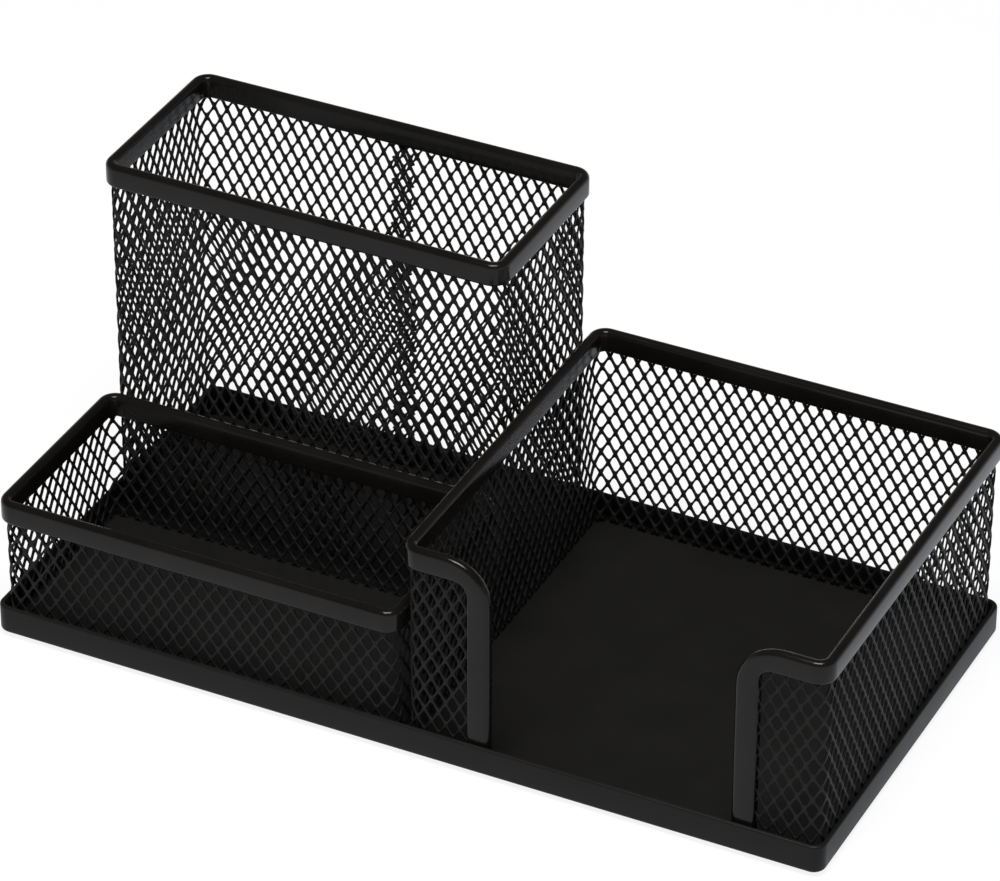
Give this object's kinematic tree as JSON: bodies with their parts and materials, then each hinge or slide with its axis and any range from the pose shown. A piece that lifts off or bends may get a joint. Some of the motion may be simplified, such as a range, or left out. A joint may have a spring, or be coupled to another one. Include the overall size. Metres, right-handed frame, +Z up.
{
  "type": "desk organizer",
  "caption": "Desk organizer of black expanded-metal boxes on a pressed steel pan: a tall pen cup, a low clip tray and a square memo holder open at the front.",
  "frame": {"origin": "on the desk, under the middle of the base", "axes": "+X to the right along the long side, +Y to the back, +Z up; the memo holder opens towards -Y"},
  "size_m": [0.205, 0.103, 0.0965],
  "materials": {
    "pan_coat": "satin black powder coat on pressed sheet",
    "rim_coat": "satin black powder coat on folded channel",
    "mesh_coat": "satin black powder coat on expanded metal",
    "foot_pad": "matt black foam pad"
  },
  "bodies": {
    "root": {"base_pan": "pan_coat", "foot_pads": "foot_pad", "pen_cup_rim": "rim_coat", "clip_tray_rim": "rim_coat", "memo_rim": "rim_coat", "pen_cup_front_mesh": "mesh_coat", "pen_cup_back_mesh": "mesh_coat", "pen_cup_left_mesh": "mesh_coat", "pen_cup_right_mesh": "mesh_coat", "pen_cup_seam_lap": "mesh_coat", "clip_tray_front_mesh": "mesh_coat", "clip_tray_back_mesh": "mesh_coat", "clip_tray_left_mesh": "mesh_coat", "clip_tray_right_mesh": "mesh_coat", "memo_back_mesh": "mesh_coat", "memo_left_mesh": "mesh_coat", "memo_right_mesh": "mesh_coat", "memo_left_wing_mesh": "mesh_coat", "memo_right_wing_mesh": "mesh_coat"}
  },
  "joints": []
}
